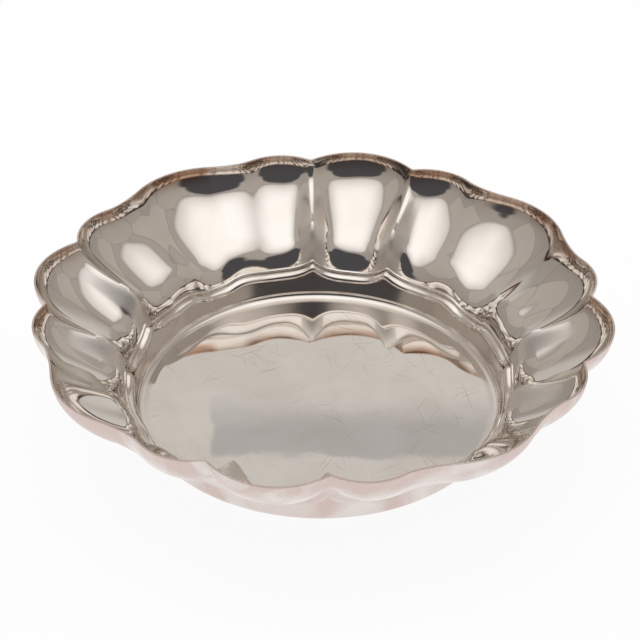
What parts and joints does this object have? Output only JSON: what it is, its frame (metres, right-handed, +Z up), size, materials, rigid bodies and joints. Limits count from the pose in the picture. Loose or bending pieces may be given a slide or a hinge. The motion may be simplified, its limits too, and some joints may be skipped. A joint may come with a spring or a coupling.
{
  "type": "lobed bowl",
  "caption": "Round low bowl of polished silver sheet with a flat floor, a short drum, a stepped wavy moulding and a wide lobed wall.",
  "frame": {"origin": "middle of the underside, on the plane the bowl rests on", "axes": "+Z up along the bowl's axis; the four narrow lobes lie on +X, +Y, -X and -Y"},
  "size_m": [0.2324, 0.2324, 0.051],
  "materials": {
    "floor_plate": "polished silver with fine wear scratches",
    "base_drum": "polished silver",
    "shoulder_moulding": "polished silver",
    "lobed_wall": "polished silver, faintly tarnished outside"
  },
  "bodies": {
    "root": {"floor_plate": "floor_plate", "base_drum": "base_drum", "shoulder_moulding": "shoulder_moulding", "lobed_wall": "lobed_wall"}
  },
  "joints": []
}
